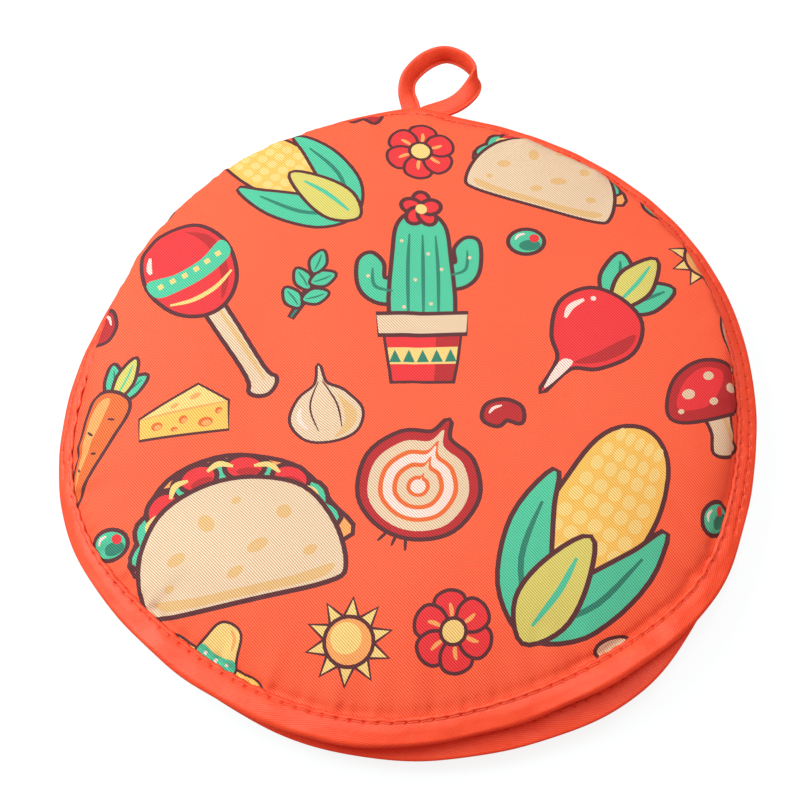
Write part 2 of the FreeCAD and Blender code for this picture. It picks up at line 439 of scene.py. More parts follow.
def linear(colour):
    """Linear red, green, blue and 1 of an sRGB hex colour."""
    parts = [int(colour[i:i + 2], 16) / 255 for i in (1, 3, 5)]
    return tuple(c / 12.92 if c <= 0.04045 else ((c + 0.055) / 1.055) ** 2.4 for c in parts) + (1.0,)


def new_material(name, roughness, sheen=0.0, gloss=0.3):
    """A material's tree and its principled shader."""
    material = bpy.data.materials.new(name)
    material.use_nodes = True
    tree = material.node_tree
    shader = tree.nodes["Principled BSDF"]
    shader.inputs["Roughness"].default_value = roughness
    shader.inputs["Specular IOR Level"].default_value = gloss
    shader.inputs["Sheen Weight"].default_value = sheen
    shader.inputs["Sheen Roughness"].default_value = 0.5
    return material, tree, shader


def ribs(tree, place, direction, pitch):
    """Height from 0 to 1 of broad ribs with narrow grooves, across a direction, pitch millimetres apart."""
    aim = Vector(direction).normalized() * (TURN / (pitch * MM))
    phase = add(tree, "ShaderNodeVectorMath", {"operation": "DOT_PRODUCT"}, {0: place, 1: tuple(aim)})
    wave = add(tree, "ShaderNodeMath", {"operation": "SINE"}, {0: phase.outputs["Value"]})
    return add(tree, "ShaderNodeMapRange", {}, {0: wave.outputs[0], 1: -1.0, 2: 0.5}).outputs[0]


def speckle(tree, place, size, detail=2.0):
    """Noise from 0 to 1 with spots of about size millimetres."""
    return add(tree, "ShaderNodeTexNoise", {}, {
        "Vector": place, "Scale": 1 / (size * MM), "Detail": detail}).outputs["Fac"]


def scaled(tree, value, low, high):
    return add(tree, "ShaderNodeMapRange", {}, {0: value, 3: low, 4: high}).outputs[0]


def times(tree, a, b):
    return add(tree, "ShaderNodeMath", {"operation": "MULTIPLY"}, {0: a, 1: b}).outputs[0]


def plus(tree, a, b):
    return add(tree, "ShaderNodeMath", {"operation": "ADD"}, {0: a, 1: b}).outputs[0]


def attribute(tree, name, output="Vector"):
    return add(tree, "ShaderNodeAttribute", {"attribute_name": name}).outputs[output]


def shaded(tree, colour, value):
    """A colour made lighter or darker by a value about 1."""
    return add(tree, "ShaderNodeVectorMath", {"operation": "SCALE"}, {0: colour, 3: value}).outputs[0]


def bumped(tree, shader, height, depth, strength=1.0):
    """Gives the shader a normal from a height from 0 to 1, depth millimetres deep."""
    bump = add(tree, "ShaderNodeBump", {}, {
        "Strength": strength, "Distance": depth * MM, "Height": height})
    tree.links.new(bump.outputs[0], shader.inputs["Normal"])


# The ribs are drawn a little coarser than the real 0.85 mm, and with deep grooves and painted shade down in them, so
# that they show.
GROUND = "#FF6E49"                  # of the print, and the dyed yarn
TWILL_PITCH = 0.95
TWILL_ACROSS = (0.67, 0.743, 0)     # square to the ribs, on the flat cloth
TAPE_RIB_PITCH = 0.8
# How much the ribs' pitch turns into the tape's length, so that whole ribs close round the pouch.
TAPE_LENGTH = TURN * (tape_inner + tape_width / 2)
TAPE_RIB_SLANT = round(0.3 * TAPE_LENGTH / TAPE_RIB_PITCH) * TAPE_RIB_PITCH / TAPE_LENGTH


def mixed(tree, share, first, second):
    """A colour between two, each of them an output or a colour."""
    return add(tree, "ShaderNodeMix", {"data_type": "RGBA"}, {0: share, 6: first, 7: second}).outputs[2]


def shade_in_grooves(tree, ink, depth, value):
    """Painted shade: an ink made darker and deeper down between two ribs, standing in for the light that goes there
    from yarn to yarn.
    """
    return shaded(tree, add(tree, "ShaderNodeGamma", {}, {0: ink, 1: depth}).outputs[0], value)


def make_printed_twill():
    """Printed polyester twill: matt inks on fine slanting ribs. Pale inks let the dyed yarn through between them."""
    material, tree, shader = new_material("printed_polyester_twill", 0.72, 0.04)
    place = attribute(tree, "cut")
    rib = ribs(tree, place, TWILL_ACROSS, TWILL_PITCH)
    grain = speckle(tree, place, 0.9)
    patches = speckle(tree, place, 38.0)
    ink = attribute(tree, "ink", "Color")
    red, green, blue = add(tree, "ShaderNodeSeparateColor", {}, {0: ink}).outputs
    least = add(tree, "ShaderNodeMath", {"operation": "MINIMUM"}, {0: red, 1: green}).outputs[0]
    least = add(tree, "ShaderNodeMath", {"operation": "MINIMUM"}, {0: least, 1: blue}).outputs[0]
    through = add(tree, "ShaderNodeMapRange", {}, {0: least, 1: 0.05, 2: 0.5, 3: 0.0, 4: 0.4}).outputs[0]
    # Painted shade: between the ribs the ink, or the dyed yarn under pale inks, is darker and deeper, and on the ribs'
    # tops it is a little lighter.
    groove_shade = shade_in_grooves(tree, mixed(tree, through, ink, linear(GROUND)), 1.45, 0.74)
    colour = mixed(tree, rib, groove_shade, shaded(tree, ink, 1.03))
    tone = times(tree, scaled(tree, grain, 0.95, 1.05), scaled(tree, patches, 0.97, 1.03))
    tree.links.new(shaded(tree, colour, tone), shader.inputs["Base Color"])
    tree.links.new(scaled(tree, grain, 0.64, 0.8), shader.inputs["Roughness"])
    bumped(tree, shader, plus(tree, times(tree, rib, 0.7), times(tree, grain, 0.3)), 0.10, 0.5)
    return material


def make_tape_cloth():
    """Bias tape: plain fine twill cut on the slant, so its ribs run along the tape, with a soft satin."""
    material, tree, shader = new_material("bias_tape_twill", 0.55, 0.04, 0.45)
    place = attribute(tree, "cut")
    rib = ribs(tree, place, (TAPE_RIB_SLANT, math.sqrt(1 - TAPE_RIB_SLANT ** 2), 0), TAPE_RIB_PITCH)
    grain = speckle(tree, place, 0.7)
    solid = add(tree, "ShaderNodeTexCoord").outputs["Object"]
    patches = speckle(tree, solid, 9.0, 3.0)
    creases = speckle(tree, solid, 3.2, 1.0)
    ink = mixed(tree, patches, linear("#FC4F2A"), linear("#FD633A"))
    # Painted shade: down between the tape's ribs its colour is darker and deeper.
    colour = mixed(tree, rib, shade_in_grooves(tree, ink, 1.25, 0.9), ink)
    tone = times(tree, scaled(tree, grain, 0.95, 1.05), scaled(tree, patches, 0.95, 1.05))
    tree.links.new(shaded(tree, colour, tone), shader.inputs["Base Color"])
    tree.links.new(scaled(tree, grain, 0.46, 0.62), shader.inputs["Roughness"])
    fine = plus(tree, times(tree, rib, 0.12), times(tree, grain, 0.08))
    bumped(tree, shader, plus(tree, fine, times(tree, creases, 0.8)), 0.5, 0.6)
    return material


def make_lining_cloth():
    """Plain woven polyester lining: matt, with threads both ways."""
    material, tree, shader = new_material("woven_polyester_lining", 0.8, 0.1)
    place = attribute(tree, "cut")
    weave = times(tree, ribs(tree, place, (1, 0, 0), 1.1), ribs(tree, place, (0, 1, 0), 1.1))
    grain = speckle(tree, place, 1.2)
    tone = plus(tree, scaled(tree, weave, 0.9, 1.06), scaled(tree, grain, -0.05, 0.05))
    ink = add(tree, "ShaderNodeMix", {"data_type": "RGBA"}, {
        0: grain, 6: linear("#E2492C"), 7: linear("#EA5636")}).outputs[2]
    tree.links.new(shaded(tree, ink, tone), shader.inputs["Base Color"])
    tree.links.new(scaled(tree, grain, 0.74, 0.86), shader.inputs["Roughness"])
    bumped(tree, shader, weave, 0.12, 0.6)
    return material


def make_thread():
    """Spun polyester thread: twisted plies that catch a little light."""
    material, tree, shader = new_material("spun_polyester_thread", 0.5, 0.2)
    place = add(tree, "ShaderNodeTexCoord").outputs["Object"]
    ply = speckle(tree, place, 0.35)
    ink = add(tree, "ShaderNodeMix", {"data_type": "RGBA"}, {
        0: ply, 6: linear("#E04826"), 7: linear("#F66C48")}).outputs[2]
    tree.links.new(ink, shader.inputs["Base Color"])
    tree.links.new(scaled(tree, ply, 0.42, 0.6), shader.inputs["Roughness"])
    bumped(tree, shader, ply, 0.05, 0.6)
    return material


def make_batting():
    """Lofted polyester fibre: white, soft and rough, with clumps."""
    material, tree, shader = new_material("polyester_batting", 0.95, 0.3)
    place = attribute(tree, "cut")
    clumps = speckle(tree, place, 6.0, 6.0)
    fibres = speckle(tree, place, 0.8, 4.0)
    ink = add(tree, "ShaderNodeMix", {"data_type": "RGBA"}, {
        0: clumps, 6: linear("#E4E1DA"), 7: linear("#F6F4EF")}).outputs[2]
    tree.links.new(ink, shader.inputs["Base Color"])
    tree.links.new(scaled(tree, fibres, 0.9, 1.0), shader.inputs["Roughness"])
    bumped(tree, shader, plus(tree, times(tree, clumps, 0.6), times(tree, fibres, 0.4)), 0.8, 0.7)
    return material


def make_film():
    """Thin polyester film: smooth, silvery white, with soft creases."""
    material, tree, shader = new_material("polyester_film", 0.3)
    place = attribute(tree, "cut")
    creases = speckle(tree, place, 14.0, 5.0)
    ink = add(tree, "ShaderNodeMix", {"data_type": "RGBA"}, {
        0: creases, 6: linear("#C9CCD0"), 7: linear("#DFE1E4")}).outputs[2]
    tree.links.new(ink, shader.inputs["Base Color"])
    tree.links.new(scaled(tree, creases, 0.22, 0.4), shader.inputs["Roughness"])
    bumped(tree, shader, creases, 0.4, 0.5)
    return material


printed_twill = make_printed_twill()
tape_cloth = make_tape_cloth()
lining_cloth = make_lining_cloth()
thread_material = make_thread()
batting_fibre = make_batting()
film_material = make_film()


# ---- Print -------------------------------------------------------------------------------------------
INKS = {
    "ground": GROUND,
    "line": "#66363A",
    "cream": "#E2D8B8",
    "tan": "#E2C38A",
    "white": "#F4EADF",
    "red": "#EC4045",
    "crimson": "#C13438",
    "teal": "#58CCA6",
    "pine": "#388C76",
    "yellow": "#F4DB8C",
    "gold": "#F6C968",
    "amber": "#F9B06A",
    "rust": "#EC773C",
    "sky": "#C8EAEC",
    "lime": "#D9D577",
}
LINE = 2.0                          # width of the dark line round a motif


def curve(points, closed=True, steps=5):
    """Smooth line through points."""
    points = np.array(points, float)
    count = len(points)
    made = []
    for k in range(count if closed else count - 1):
        index = [k - 1, k, k + 1, k + 2]
        index = [i % count for i in index] if closed else [min(max(i, 0), count - 1) for i in index]
        for t in np.arange(steps) / steps:
            made.append(sum(w * points[i] for w, i in zip(weights(t), index)))
    if not closed:
        made.append(points[-1])
    return np.array(made)


def oval(x, y, wide, high, turn=0, steps=22):
    t = np.arange(steps) / steps * TURN
    return placed(np.stack([np.cos(t) * wide / 2, np.sin(t) * high / 2], -1), x, y, turn)


def placed(outline, x=0, y=0, turn=0, size=1):
    c, s = math.cos(math.radians(turn)) * size, math.sin(math.radians(turn)) * size
    return np.asarray(outline, float) @ np.array([[c, s], [-s, c]]) + (x, y)


def grown(outline, by):
    """A closed outline moved outwards by a distance."""
    area = np.sum(outline[:, 0] * np.roll(outline[:, 1], -1) - outline[:, 1] * np.roll(outline[:, 0], -1))
    along = np.roll(outline, -1, 0) - np.roll(outline, 1, 0)
    out = np.stack([along[:, 1], -along[:, 0]], -1) * np.sign(area)
    return outline + out / np.maximum(np.linalg.norm(out, axis=1, keepdims=True), 1e-9) * by


def stroke(points, width):
    """Outline of a line drawn with a pen that is lighter at both ends."""
    line = curve(points, closed=False)
    along = np.gradient(line, axis=0)
    side = np.stack([-along[:, 1], along[:, 0]], -1)
    side /= np.maximum(np.linalg.norm(side, axis=1, keepdims=True), 1e-9)
    half = width / 2 * np.maximum(np.sin(np.linspace(0, math.pi, len(line))), 0.25)[:, None] ** 0.5
    return np.concatenate([line + side * half, (line - side * half)[::-1]])


def mirrored(outline):
    return np.asarray(outline, float) * (-1, 1)


def lined(ink, outline):
    """A filled outline with the dark line round it."""
    return [("line", grown(outline, LINE)), (ink, outline)]


def leaf(x, y, length, width, turn, ink="teal", vein="pine"):
    """A leaf that starts at a point and grows upwards before it is turned."""
    shape = curve([(0, 0), (width * 0.4, length * 0.28), (width * 0.46, length * 0.6), (0, length),
                   (-width * 0.46, length * 0.6), (-width * 0.4, length * 0.28)])
    middle = stroke([(0, length * 0.1), (width * 0.05, length * 0.5), (0, length * 0.86)], width * 0.13)
    return lined(ink, placed(shape, x, y, turn)) + [(vein, placed(middle, x, y, turn))]


def corn():
    cob = curve([(0, 50), (12, 43), (18, 24), (18, -6), (12, -34), (-12, -34), (-18, -6), (-18, 24), (-12, 43)])
    art = lined("gold", cob)
    for row in range(10):
        y = -28 + row * 7.9
        wide = 33 * math.sqrt(max(1 - ((y - 8) / 46) ** 2, 0.05))
        for column in range(-2, 3):
            shift = 0.5 if row % 2 else 0
            x = column * wide / 5
            art.append(("yellow", oval(x, y + shift, wide / 5 * 0.84, 6.4, 0, 12)))
    for side in (1, -1):
        husk = [(2, -50), (19, -38), (28, -10), (25, 16), (18, 2), (8, -18), (0, -34)]
        shape = curve(husk) if side > 0 else mirrored(curve(husk))
        fold = stroke([(4 * side, -44), (17 * side, -24), (22 * side, 2)], 2.4)
        art += lined("teal", shape) + [("pine", fold)]
    front = curve([(0, -53), (10, -40), (9, -20), (1, -2), (-8, -20), (-10, -40)])
    return art + lined("lime", front) + [("teal", stroke([(0, -46), (2, -28), (1, -12)], 2.6))]


def taco():
    """A folded shell with salad showing over its rim."""
    back = curve([(-36, -8), (-34, 12), (-20, 29), (4, 34), (26, 25), (38, 6), (40, -10)])
    art = lined("amber", back)
    t = np.radians(np.linspace(8, 172, 42))
    rim = np.stack([39 * np.cos(t), -6 + 36 * np.sin(t)], -1)
    frill = rim + np.stack([np.cos(t), np.sin(t)], -1) * (2.6 * np.abs(np.sin(9 * t)))[:, None]
    art += lined("teal", np.concatenate([frill, [(-34, -10), (34, -10)]]))
    for x, y, turn in ((-25, 19, 40), (-9, 28, 12), (9, 28.5, -10), (25, 20, -38)):
        art += lined("red", oval(x, y, 13, 9, turn)) + [("crimson", oval(x + 1, y - 2, 9, 3.4, turn))]
    for x, y, turn in ((-30, 12, 65), (-17, 25, 35), (0, 30, 0), (17, 26, -30), (31, 11, -62)):
        art.append(("yellow", stroke(placed([(-5, 0), (0, 2.2), (5, 0)], x, y, turn), 2.4)))
    shell = curve([(-40, -20), (-38, -2), (-27, 15), (-9, 23), (10, 23), (28, 15), (38, -2), (40, -20),
                   (33, -25), (0, -26), (-33, -25)])
    art += lined("cream", shell)
    art.append(("tan", curve([(-36, -19), (-20, -21), (0, -21.5), (20, -21), (36, -19), (30, -24), (0, -25), (-30, -24)])))
    for x, y, wide, high in ((-24, -4, 8, 5), (-10, 8, 6, 8), (8, -6, 9, 5), (20, 6, 6, 6), (-2, -15, 7, 4),
                             (28, -12, 6, 4), (-29, -15, 4, 3), (3, 15, 4, 3)):
        art.append(("tan", oval(x, y, wide, high, 20, 14)))
    return art


def cactus():
    """A small cactus in a banded pot."""
    art = []
    left = curve([(-8, -4), (-19, -5), (-27, 2), (-28, 15), (-23, 19), (-18, 14), (-17, 6), (-8, 6)])
    right = curve([(8, 4), (18, 3), (25, 10), (26, 25), (21, 28), (16, 23), (16, 15), (8, 14)])
    trunk = curve([(0, 42), (9, 37), (12, 22), (12, -18), (-12, -18), (-12, 22), (-9, 37)])
    for arm in (left, right):
        art += lined("teal", arm)
    art += lined("teal", trunk)
    for x in (-5.5, 0.5, 6.5):
        art.append(("pine", stroke([(x, 30), (x * 1.15, 10), (x * 1.1, -16)], 1.7)))
    art.append(("pine", stroke([(-22, 12), (-21, 3), (-13, 0)], 1.6)))
    art.append(("pine", stroke([(21, 22), (20, 12), (13, 9)], 1.6)))
    for x, y in ((-9, 26), (3, 20), (-3, 6), (9, 12), (-8, -8), (4, -6), (22, 18), (-24, 8)):
        art.append(("cream", oval(x, y, 1.8, 1.8, 0, 8)))
    for turn in range(0, 360, 72):
        art += lined("red", placed(oval(0, 4.6, 6, 8), 0, 44, turn))
    art.append(("yellow", oval(0, 44, 5.4, 5.4)))
    pot = [(-17, -16), (17, -16), (13, -44), (-13, -44)]
    lip = [(-20, -12), (20, -12), (19, -21), (-19, -21)]
    art += lined("red", np.array(pot, float)) + [("crimson", np.array([(6, -21), (16, -21), (13, -44), (5, -44)], float))]
    art += [("yellow", np.array([(-15.2, -28), (15.2, -28), (14.2, -36), (-14.2, -36)], float))]
    for x in range(-12, 13, 6):
        art.append(("pine", np.array([(x - 2.6, -35), (x + 2.6, -35), (x, -29)], float)))
    return art + lined("cream", np.array(lip, float))


def maraca():
    grip = curve([(-3.6, 4), (3.6, 4), (3.4, -36), (5.5, -44), (0, -48), (-5.5, -44), (-3.4, -36)])
    head = curve([(0, 48), (14, 43), (20, 27), (16, 10), (6, 1), (-6, 1), (-16, 10), (-20, 27), (-14, 43)])
    art = lined("cream", grip) + [("tan", stroke([(1.6, 0), (1.8, -20), (1.6, -42)], 2.2))]
    art += lined("red", head)
    art.append(("crimson", curve([(8, 44), (16, 36), (17.6, 24), (13, 10), (5, 2.5), (11, 14), (13, 28), (11, 38)])))
    band = curve([(-19.4, 30), (-7, 26), (7, 26), (19.4, 30), (19.8, 21), (7, 17), (-7, 17), (-19, 20)])
    art.append(("teal", band))
    for x in range(-15, 16, 6):
        art.append(("yellow", oval(x, 22.4 + abs(x) * 0.12, 3.6, 3.6, 45, 4)))
    art.append(("yellow", stroke([(-16, 13), (-6, 9.5), (6, 9.5), (16, 13)], 2.2)))
    return art + [("white", stroke([(-12, 41), (-15, 36), (-15.5, 33)], 2.6))]


def radish():
    art = leaf(0, 17, 30, 15, 28) + leaf(0, 17, 30, 15, -30) + leaf(0, 17, 34, 15, 0, "lime", "teal")
    body = curve([(0, 22), (14, 18), (20, 4), (13, -11), (3, -19), (1, -36), (-3, -19), (-13, -11), (-20, 4), (-14, 18)])
    art += lined("red", body)
    art.append(("crimson", curve([(16, 12), (18, 3), (12, -9), (3, -16), (8, -6), (12, 4)])))
    art.append(("white", curve([(0.4, -16), (3, -18), (1, -34), (-2.4, -20)])))
    return art + [("white", stroke([(-13, 12), (-15.4, 5), (-14, -1)], 3.0)), ("white", oval(-10, 15, 2.6, 2.6, 0, 8))]


def onion():
    """Half an onion, cut side up."""
    bulb = [(0, 33), (4, 24), (17, 19), (26, 4), (22, -14), (8, -23), (-8, -23), (-22, -14), (-26, 4), (-17, 19), (-4, 24)]
    art = lined("crimson", curve(bulb))
    for size, ink in ((0.86, "cream"), (0.68, "rust"), (0.60, "white"), (0.44, "rust"), (0.36, "cream"), (0.20, "rust"), (0.13, "white")):
        art.append((ink, placed(curve(bulb), 0, -1.5 + size, 0, size)))
    for x in (-4, 0, 4):
        art.append(("line", stroke([(x, -24), (x * 1.6, -30)], 1.5)))
    return art


def carrot():
    art = leaf(0, 26, 20, 9, 30) + leaf(0, 26, 20, 9, -30) + leaf(0, 26, 24, 9, 0, "lime", "teal")
    art += lined("rust", curve([(0, 30), (9, 27), (10, 16), (5, -12), (0, -36), (-5, -12), (-10, 16), (-9, 27)]))
    art.append(("amber", curve([(-7, 24), (-2, 26), (-1, 10), (-1, -20), (-4, -6), (-8, 14)])))
    for x, y in ((6, 18), (-6, 8), (4.5, 0), (-3, -10)):
        art.append(("line", stroke([(x, y), (x * 0.3, y - 0.8)], 1.3)))
    return art


def mushroom():
    stem = curve([(-7, 4), (7, 4), (6, -12), (9, -22), (0, -25), (-9, -22), (-6, -12)])
    cap = curve([(0, 26), (16, 20), (25, 5), (20, -2), (0, -4), (-20, -2), (-25, 5), (-16, 20)])
    art = lined("cream", stem) + [("tan", stroke([(4, 0), (3.4, -10), (5.5, -20)], 3.0))]
    art += lined("crimson", cap) + [("red", curve([(-20, 5), (-13, 17), (0, 23), (11, 18), (4, 8), (-6, 2)]))]
    for x, y, wide in ((-12, 11, 7), (2, 18, 6), (13, 9, 7), (0, 4, 5), (-19, 3, 3.4), (20, 3, 3.4)):
        art.append(("cream", oval(x, y, wide, wide * 0.8, 0, 14)))
    return art


def garlic():
    bulb = curve([(0, 31), (3, 18), (14, 10), (21, -4), (15, -18), (0, -22), (-15, -18), (-21, -4), (-14, 10), (-3, 18)])
    art = lined("cream", bulb)
    art.append(("tan", curve([(10, 9), (18, -4), (13, -16), (1, -20.5), (9, -12), (11, 0)])))
    for side in (-1, 1):
        art.append(("line", stroke([(1.2 * side, 20), (8 * side, 4), (7 * side, -14)], 1.2)))
    return art + [("white", stroke([(-14, 4), (-16, -4), (-13, -11)], 3.0))]


def flower():
    art = []
    for turn in range(0, 360, 60):
        art += lined("red", placed(curve([(0, 4), (7, 10), (7, 18), (0, 21), (-7, 18), (-7, 10)]), 0, 0, turn))
    for turn in range(0, 360, 60):
        art.append(("amber", placed(stroke([(0, 7), (0.4, 11), (0, 15)], 2.4), 0, 0, turn)))
    return art + lined("yellow", oval(0, 0, 12, 12))


def sun():
    art = []
    for turn in range(0, 360, 36):
        art += lined("yellow", placed(np.array([(-3.6, 11), (3.6, 11), (0, 21)], float), 0, 0, turn))
    art += lined("amber", oval(0, 0, 23, 23))
    return art + [("yellow", oval(-1.6, 1.6, 16, 16))]


def sprig():
    art = lined("pine", stroke([(-2, -22), (1, -4), (0, 18)], 2.2))
    for x, y, turn in ((0, -14, 55), (0.6, -9, -55), (1, -1, 50), (1, 3, -50)):
        art += leaf(x, y, 15, 9, turn)
    return art + leaf(0, 10, 15, 9, 0)


def bean():
    shape = curve([(-8, 2), (-4, 7), (4, 6), (9, 0), (6, -6), (1, -2), (-4, -3)])
    return lined("crimson", shape) + [("white", stroke([(-5, 3.6), (-2, 5), (2, 4.6)], 1.5))]


def olive():
    art = lined("teal", oval(0, 0, 15, 12)) + [("pine", oval(1.4, -2.2, 10, 6))]
    return art + [("red", oval(4, 1.5, 4.6, 4.6)), ("white", stroke([(-5, 1.5), (-3, 3.8), (0, 4.4)], 1.4))]


def sombrero():
    art = lined("gold", curve([(-38, -8), (-33, -2), (-18, -3), (18, -3), (33, -2), (38, -8), (22, -20), (-22, -20)]))
    art.append(("amber", curve([(-34, -9), (-20, -17), (20, -17), (34, -9), (16, -12), (-16, -12)])))
    for x in range(-24, 25, 8):
        y = -15.4 + abs(x) * 0.13
        art.append(("red", oval(x, y, 4.2, 4.2, 45, 4)))
    art += lined("yellow", curve([(-15, -8), (-12, 8), (-8, 20), (0, 23), (8, 20), (12, 8), (15, -8), (0, -11)]))
    art.append(("teal", curve([(-14.6, -6), (-13, 3), (0, 0), (13, 3), (14.6, -6), (0, -9)])))
    for x in (-9, 0, 9):
        art.append(("white", oval(x, -3.8 + abs(x) * 0.15, 3.4, 3.4, 45, 4)))
    return art + [("amber", stroke([(8, 8), (6, 16), (1, 20)], 2.6))]


def cheese():
    """A wedge of cheese with its holes."""
    art = lined("gold", np.array([(-30, -2), (10, 17), (30, 2), (30, -18), (-30, -16)], float))
    art.append(("yellow", np.array([(-30, -2), (10, 17), (30, 2)], float)))
    art.append(("amber", stroke([(-30, -2), (0, 0), (30, 2)], 1.6)))
    for x, y, wide, high in ((-18, -9, 8, 6), (0, -7, 6, 6), (15, -11, 10, 7), (24, -4, 5, 5), (-6, -13, 5, 3.4)):
        art += [("rust", oval(x, y, wide, high, 0, 14)), ("amber", oval(x + 0.7, y - 0.8, wide * 0.66, high * 0.6, 0, 12))]
    return art + [("amber", oval(8, 9, 8, 4, 20, 12)), ("amber", oval(-6, 4, 6, 3, 20, 12))]


# Each motif with its place on the flat cloth, its turn in degrees and its size
LAYOUT = [
    (taco, -64, -80, 16, 1.05),
    (corn, 82, -65, -24, 1.04),
    (cactus, 2, 40, 6, 0.98),
    (maraca, -88, 24, 38, 1.0),
    (onion, 10, -52, -18, 0.98),
    (radish, 76, 26, -34, 0.95),
    (taco, 54, 112, -14, 0.84),
    (corn, -66, 98, 58, 0.8),
    (mushroom, 133, -2, 24, 0.84),
    (garlic, -33, -20, 16, 0.68),
    (flower, -6, 116, 0, 0.74),
    (sun, 126, 71, 10, 0.76),
    (carrot, -131, -44, -16, 0.86),
    (cheese, -92, -25, 14, 0.62),
    (sprig, -48, 38, -14, 0.74),
    (olive, -116, -84, 20, 0.95),
    (bean, 42, -16, 30, 0.95),
    (bean, -140, 14, -60, 0.95),
    (sun, -12, -120, 0, 0.8),
    (flower, 30, -114, 12, 0.76),
    (sombrero, -66, -130, -24, 0.6),
    (olive, 106, 98, -20, 0.95),
    (olive, 46, 70, 10, 0.95),
    (olive, 136, -50, 40, 0.95),
    (flower, -134, 80, 20, 0.8),
    (bean, -36, 136, 10, 0.95),
    (mushroom, 104, -127, 205, 0.8),
    (garlic, 150, 38, -60, 0.7),
    (radish, 18, 160, 100, 0.8),
]


def drawn(layout, turn=0, seen_from_below=False):
    """Every filled outline of a layout in the order in which it is laid on."""
    art = []
    for motif, x, y, own_turn, size in layout:
        for ink, outline in motif():
            outline = placed(placed(outline, 0, 0, own_turn, size), x, y)
            outline = placed(outline, 0, 0, turn)
            art.append((ink, mirrored(outline) if seen_from_below else outline))
    return art


def inside(outline, points):
    """Whether points lie inside a closed outline, by how often it winds round them."""
    a = outline[:, None]
    b = np.roll(outline, -1, 0)[:, None]
    p = points[None]
    left = (b[..., 0] - a[..., 0]) * (p[..., 1] - a[..., 1]) - (p[..., 0] - a[..., 0]) * (b[..., 1] - a[..., 1])
    up = (a[..., 1] <= p[..., 1]) & (b[..., 1] > p[..., 1]) & (left > 0)
    down = (a[..., 1] > p[..., 1]) & (b[..., 1] <= p[..., 1]) & (left < 0)
    return (up.sum(0) - down.sum(0)) != 0


def printed_layout(art, reach):
    """Triangles of the flat cloth whose edges follow every outline, and the ink of each."""
    middle_step, rim_step = 2.6, 1.25
    rim_width = 14.0
    rim_rings = int(rim_width / rim_step)
    outlines = [resampled(outline, 1.3) for _, outline in art]
    kept = [o for o in outlines if np.linalg.norm(o, axis=1).min() < reach]
    near_outline = np.zeros((400, 400), bool)
    cell = 2 * reach / 399

    def cells(points):
        return np.clip(np.round((points + reach) / cell).astype(int), 0, 399)

    for outline in kept:
        index = cells(outline)
        near_outline[index[:, 0], index[:, 1]] = True
    across = np.arange(-reach, reach, middle_step)
    grid = np.array([(x + (k % 2) * middle_step / 2, y * 0.866)
                     for k, y in enumerate(np.arange(-reach / 0.866, reach / 0.866, middle_step)) for x in across])
    grid = grid[np.linalg.norm(grid, axis=1) < reach - rim_width]
    rings = []
    for k in range(rim_rings + 1):
        radius = reach - k * rim_step
        count = int(TURN * reach / rim_step)
        t = (np.arange(count) + 0.5 * (k % 2)) / count * TURN
        rings.append(np.stack([radius * np.cos(t), radius * np.sin(t)], -1))
    free = np.concatenate([grid] + rings[1:])
    index = cells(free)
    free = free[~near_outline[index[:, 0], index[:, 1]]]
    points = [rings[0], free] + kept
    edges = []
    start = 0
    for k, group in enumerate(points):
        if k != 1:
            own = np.arange(len(group))
            edges.append(np.stack([start + own, start + (own + 1) % len(group)], -1))
        start += len(group)
    made = delaunay_2d_cdt([Vector(p) for p in np.concatenate(points)],
                           np.concatenate(edges).tolist(), [], 0, 1e-4, False)
    flat = np.array([tuple(p) for p in made[0]])
    faces = np.array([f for f in made[2] if len(f) == 3])
    middles = flat[faces].mean(axis=1)
    faces = faces[np.linalg.norm(middles, axis=1) < reach]
    middles = flat[faces].mean(axis=1)
    names = list(INKS)
    ink = np.zeros(len(faces), int)
    for name, outline in art:
        low, high = outline.min(0), outline.max(0)
        near = np.flatnonzero(((middles > low) & (middles < high)).all(axis=1))
        if len(near):
            ink[near[inside(outline, middles[near])]] = names.index(name)
    used = np.unique(faces)
    order = np.full(len(flat), -1)
    order[used] = np.arange(len(used))
    return flat[used], order[faces], ink


def resampled(outline, step):
    """A closed outline again with points at most a step apart."""
    made = []
    for a, b in zip(outline, np.roll(outline, -1, 0)):
        count = max(1, math.ceil(np.linalg.norm(b - a) / step))
        made.append(a + (b - a) * (np.arange(count) / count)[:, None])
    return np.concatenate(made)


def printed_piece(name, cloth, art, up):
    """A cover whose mesh follows the printed outlines, with each ink kept on its triangles' corners."""
    flat, faces, ink = printed_layout(art, cloth.reach)
    points = cloth.at(np.linalg.norm(flat, axis=1), np.arctan2(flat[:, 1], flat[:, 0]))
    piece = new_piece(name, points, facing(faces.tolist(), up), printed_twill)
    store(piece, "cut", np.column_stack([flat, np.zeros(len(flat))]) * MM)
    colours = np.array([linear(c) for c in INKS.values()])
    attribute_made = piece.data.color_attributes.new("ink", "FLOAT_COLOR", "CORNER")
    attribute_made.data.foreach_set("color", np.repeat(colours[ink], 3, axis=0).astype(np.float32).ravel())
    return thickened(piece, COVER_THICKNESS)


# ---- Padded panels -----------------------------------------------------------------------------------
def cloth_of(section, rings=RINGS, round_count=STEPS_ROUND):
    """The cloth that a panel's section makes when it is turned round the pouch, before it is placed."""
    angle = np.arange(round_count) / round_count * TURN
    lines, reach = evenly(section(angle), rings)
    return Cloth(turned(angle, lines).transpose(1, 0, 2), reach)


def unevenness(points, seed):
    """Soft hollows and swells over a panel, about 1 high."""
    random = np.random.default_rng(seed)
    total = np.zeros(points.shape[:-1])
    for _ in range(12):
        aim = random.uniform(0, TURN)
        pitch = random.uniform(45, 110)
        across = points[..., 0] * math.cos(aim) + points[..., 1] * math.sin(aim)
        total += np.sin(across / pitch * TURN + random.uniform(0, TURN))
    return total / math.sqrt(6)


